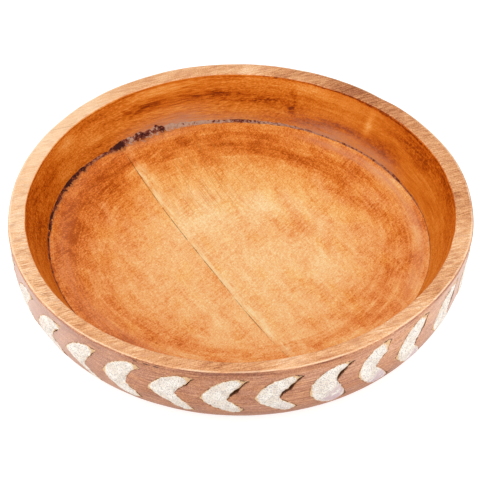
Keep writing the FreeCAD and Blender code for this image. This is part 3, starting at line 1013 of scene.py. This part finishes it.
def rim_look(shader, tone, calm, blotch, streak, fibre, grit):
    """The bare rim, with reddish places, brown dashes and a painted highlight on its outer edge."""
    lively = shader.total(-1.15, (blotch, 0.6), (streak, 0.45), (fibre, 0.7), (grit, 0.55))
    lively = shader.times(lively, shader.between(calm, 0, 1, 1, 0.45))
    rim = shader.ramp(shader.total(0.39, (tone, 0.9), (lively, 1)), RIM_WOOD)
    reddish = shader.between(shader.noise((10, 5, 5)), 0.48, 0.68, 0, 0.4)
    reddish = shader.times(reddish, shader.between(calm, 0, 1, 1, 0.4))
    rim = shader.mix(reddish, rim, "C47E5A")
    dash = shader.noise((6, 0.75, 0.75), detail=1, roughness=0.7)
    crossed = shader.times(shader.read("dashes"), shader.between(dash, 0.54, 0.66, 0, 0.8))
    rim = shader.mix(crossed, rim, "A45C30")
    # A painted highlight along the rim's outer eased edge.
    edge_highlight = shader.total(0, (shader.read("edge_highlight"), 0.6), (blotch, 0.8))
    return shader.mix(shader.between(edge_highlight, 0.85, 1.1, 0, 0.5), rim, "FFE8C8")


def outside_look(shader, tone, blotch, fibre, grit):
    """The bare outside, browner or more mauve by places, with a painted pale sheen towards the sides."""
    layer = shader.noise((60, 9, 1.1), roughness=0.7)
    value = shader.total(-0.93, (tone, 1), (blotch, 0.4), (layer, 1.3), (fibre, 0.5), (grit, 0.7))
    mauve = shader.between(shader.noise((50, 14, 6), detail=2), 0.35, 0.6, 0, 0.45)
    outer = shader.mix(mauve, shader.ramp(value, OUTER_WOOD), shader.ramp(value, OUTER_MAUVE))
    return shader.mix(shader.read("smear_and_sheen"), outer, "DFCAC2")


def wall_material():
    shader = Shader("wall_wood", WALL_GRAIN)
    tone, calm = shader.read("tone"), shader.read("calm")
    on_rim, on_outside = shader.read("on_rim"), shader.read("on_outside")
    blotch = shader.noise((38, 14, 9))
    streak = shader.noise((26, 2.2, 1.5), detail=4, roughness=0.65)
    fibre = shader.noise((8, 0.75, 0.7), detail=0)
    grit = shader.noise((1, 0.8, 0.7), detail=0, turn=50)
    inside = inside_look(shader, tone, calm, blotch, streak, fibre, grit)
    rim = rim_look(shader, tone, calm, blotch, streak, fibre, grit)
    wood = shader.mix(on_rim, inside, rim)
    wood = shader.mix(on_outside, wood, outside_look(shader, tone, blotch, fibre, grit))
    not_inside = shader.math("MAXIMUM", on_rim, on_outside)
    for offset in (WALL_REAR_JOINT, WALL_FRONT_JOINT):
        seam = shader.times(shader.line(offset, SEAM_WIDTH), shader.times(not_inside, 0.3))
        wood = shader.mix(seam, wood, "6A3A1E")
    # Painted shade in the pockets and slits, dark brown, with the thin line at their edges and the nicks
    # under the rim.
    torn = shader.total(0, (shader.read("dark"), 1), (grit, 0.3))
    wood = shader.mix(shader.between(torn, 0.24, 0.5), wood, "5A3018")
    shader.bump(shader.total(0, (streak, 0.6), (fibre, 0.4)), 0.2)
    gloss = shader.math("MULTIPLY_ADD", on_outside, 0.45, 0.03)
    return shader.finish(wood, 0.45, gloss)


def floor_texture(shader, blotch, figure, ripple, fibre, turned):
    """The floor's fine grain, with ripples in its blotches and turning marks near its edge."""
    grit = shader.noise((1, 0.8, 1), detail=0)
    pores = shader.noise((1.9, 1.2, 1.2), detail=2, roughness=0.6, turn=-60)
    swirl = shader.turned_noise((6, 13, 30), detail=3, roughness=0.5)
    patchy = shader.between(blotch, 0.4, 0.6, 0.2, 1)
    ripples = shader.times(shader.math("SUBTRACT", ripple, 0.5), patchy)
    turns = shader.total(-0.62, (turned, 0.45), (swirl, 0.8))
    turns = shader.times(turns, shader.read("turned"))
    texture = shader.total(0, (figure, 0.22), (fibre, 0.12), (grit, 0.6), (pores, 0.6))
    return shader.total(texture, (ripples, 0.8), (turns, 1))


def floor_material():
    shader = Shader("floor_wood", FLOOR_GRAIN)
    blotch = shader.noise((30, 14, 16), roughness=0.5, warp=0.8)
    figure = shader.noise((18, 3, 4), detail=2, roughness=0.6, warp=0.4)
    ripple = shader.noise((12, 2.2, 4), detail=2, roughness=0.6, warp=1.2, turn=-70)
    fibre = shader.noise((10, 0.8, 3), detail=0, warp=0.2)
    turned = shader.turned_noise((1.3, 18, 30), detail=1)
    texture = floor_texture(shader, blotch, figure, ripple, fibre, turned)
    value = shader.total(-0.64, (shader.read("tone"), 1), (blotch, 0.58), (texture, 0.8))
    hue = shader.noise((26, 12, 12), roughness=0.6)
    hue = shader.between(shader.total(hue, (shader.read("amber"), 0.35)), 0.45, 0.8, 0.25, 0.75)
    wood = shader.mix(hue, shader.ramp(value, FLOOR_STAIN), shader.ramp(value, FLOOR_AMBER))
    stripe = shader.times(shader.read("sapwood"), shader.between(figure, 0.35, 0.6, 0.6, 0))
    wood = shader.mix(stripe, wood, "FCE0AC")
    lines = shader.between(shader.noise((22, 0.8, 3), detail=1), 0.5, 0.68, 0, 0.5)
    wood = shader.mix(shader.times(lines, shader.read("hatch")), wood, "D07C34")
    haze = shader.times(shader.read("smear_and_sheen"), shader.between(turned, 0.3, 0.6, 0.4, 1))
    wood = shader.mix(haze, wood, "E09C74")
    broken = shader.between(shader.noise(9, detail=2), 0.35, 0.6, 0.1, 0.8)
    wood = shader.mix(shader.times(shader.line(FLOOR_JOINT, SEAM_WIDTH), broken), wood, "74451C")
    shader.bump(shader.total(0, (figure, 0.5), (ripple, 0.3), (fibre, 0.3)), 0.2)
    return shader.finish(wood, 0.45, 0.03)


def putty_material():
    shader = Shader("joint_putty")
    speck = shader.noise(2, roughness=0.7)
    crumb = shader.noise(5, detail=2, roughness=0.5)
    base = shader.mix(shader.read("putty"), "A04C1C", "BE9880")
    base = shader.mix(shader.between(speck, 0.45, 0.65, 0, 0.5), base, "8E5038")
    value = shader.total(0, (speck, 0.75), (crumb, 0.45), (shader.read("crust"), 0.6))
    base = shader.mix(shader.between(value, 0.88, 1), base, "74301C")
    base = shader.mix(shader.between(value, 1, 1.1), base, "3C1008")
    ragged = shader.total(speck, (shader.read("toe"), 0.7))
    base = shader.mix(shader.between(ragged, 0.95, 1.1, 0, 0.9), base, "D07A3C")
    shader.bump(speck, 0.6)
    return shader.finish(base, 0.75)


def inlay_material():
    shader = Shader("inlay_white")
    tail, edge = shader.read("tail"), shader.read("edge")
    speck = shader.noise(0.9, detail=1)
    grit = shader.noise(1.3, roughness=0.7)
    cloud = shader.noise(6, detail=2)
    white = shader.mix(shader.between(cloud, 0.35, 0.65), "F2EADF", "E4D7C8")
    white = shader.mix(shader.between(speck, 0.45, 0.68, 0, 0.75), white, "ACA4A4")
    lilac = shader.times(shader.read("lilac"), shader.between(cloud, 0.3, 0.6))
    white = shader.mix(lilac, white, "C9B0B4")
    tan = shader.total(tail, (edge, 0.7), (grit, 0.9))
    white = shader.mix(shader.between(tan, 0.78, 1.1, 0, 0.85), white, "D9AC78")
    dots = shader.total(grit, (edge, 0.5), (shader.read("crumbs"), 0.5), (tail, 0.15))
    white = shader.mix(shader.between(dots, 0.98, 1.1, 0, 0.85), white, "4A2A1A")
    # Painted shade on the inlay's back and sides, which show dark down the slit.
    white = shader.mix(shader.between(shader.read("sunk"), 0.02, 0.3), white, "5E341C")
    shader.bump(grit, 0.5)
    return shader.finish(white, 0.9, 0.1)


# ---- building ----

wall_wood = wall_material()
for board in ("rear", "left", "right", "front"):
    make_wall_board("wall_board_" + board, wall_wood)

floor_wood = floor_material()
make_floor_board("floor_board_left", 1, floor_wood)
make_floor_board("floor_board_right", -1, floor_wood)

make_bead("joint_filler_bead", putty_material())

inlay_white = inlay_material()
for number, node in enumerate(INLAYS):
    make_inlay(node, number, inlay_white)

# ---- studio ----


def make_ground(reach=3.0, gap=0.0005):
    """A wide pale sheet just under the bowl. It glows more towards the camera than on the bowl."""
    level = cad_low.z - gap
    mesh = bpy.data.meshes.new("ground")
    corners = [(x * reach, y * reach, level) for x, y in ((-1, -1), (1, -1), (1, 1), (-1, 1))]
    mesh.from_pydata(corners, [], [(0, 1, 2, 3)])
    shader = Shader("ground")
    seen = shader.node("ShaderNodeLightPath").outputs["Is Camera Ray"]
    shader.feed(shader.surface.inputs["Emission Color"], (1, 1, 1, 1))
    shader.feed(shader.surface.inputs["Emission Strength"], shader.total(0.35, (seen, 0.4)))
    mesh.materials.append(shader.finish((0.5, 0.5, 0.5, 1), 1.0, 0.0))
    add_object("ground", mesh)


def make_world(strength):
    world = bpy.data.worlds.new("studio")
    world.use_nodes = True
    background = world.node_tree.nodes["Background"]
    background.inputs["Color"].default_value = (1, 1, 1, 1)
    background.inputs["Strength"].default_value = strength
    bpy.context.scene.world = world


def make_softbox(name, place, size, power):
    """A square area light that faces the bowl."""
    light = bpy.data.lights.new(name, "AREA")
    light.size = size
    light.energy = power
    lamp = add_object(name, light)
    lamp.location = place
    lamp.rotation_euler = (-Vector(place)).to_track_quat("-Z", "Y").to_euler()


# The camera: degrees above the table and of roll, focal length and sensor in millimetres, then its aim
# in x and y and its distance from there, in rim radii.
ELEVATION = 42.41
ROLL = 0.30
FOCAL_LENGTH = 211.5
SENSOR_WIDTH = 36.0
AIM = (0.003, -0.195)
DISTANCE = 12


def make_camera():
    """A long lens from in front and above; the bowl's mouth fills the picture."""
    rim = RIM_RADIUS * MM
    elevation = math.radians(ELEVATION)
    aim = Vector((AIM[0] * rim, AIM[1] * rim, cad_high.z))
    back = Vector((0, -math.cos(elevation), math.sin(elevation)))
    lens = bpy.data.cameras.new("camera")
    lens.lens = FOCAL_LENGTH
    lens.sensor_width = SENSOR_WIDTH
    camera = add_object("camera", lens)
    camera.location = aim + back * DISTANCE * rim
    facing = back.to_track_quat("Z", "Y").to_matrix()
    tilt = Matrix.Rotation(math.radians(ROLL), 3, "Z")
    camera.rotation_euler = (facing @ tilt).to_euler()
    bpy.context.scene.camera = camera


make_ground()
make_world(0.88)
make_softbox("key", (-0.5, -0.5, 1.6), 1.2, 4.0)
make_softbox("front", (0.0, -0.9, 0.10), 0.5, 2.2)
for name, side in (("fill_left", -1), ("fill_right", 1)):
    make_softbox(name, (0.6 * side, -0.14, 0.03), 0.3, 1.6)
make_camera()
bpy.context.scene.view_settings.view_transform = "Standard"
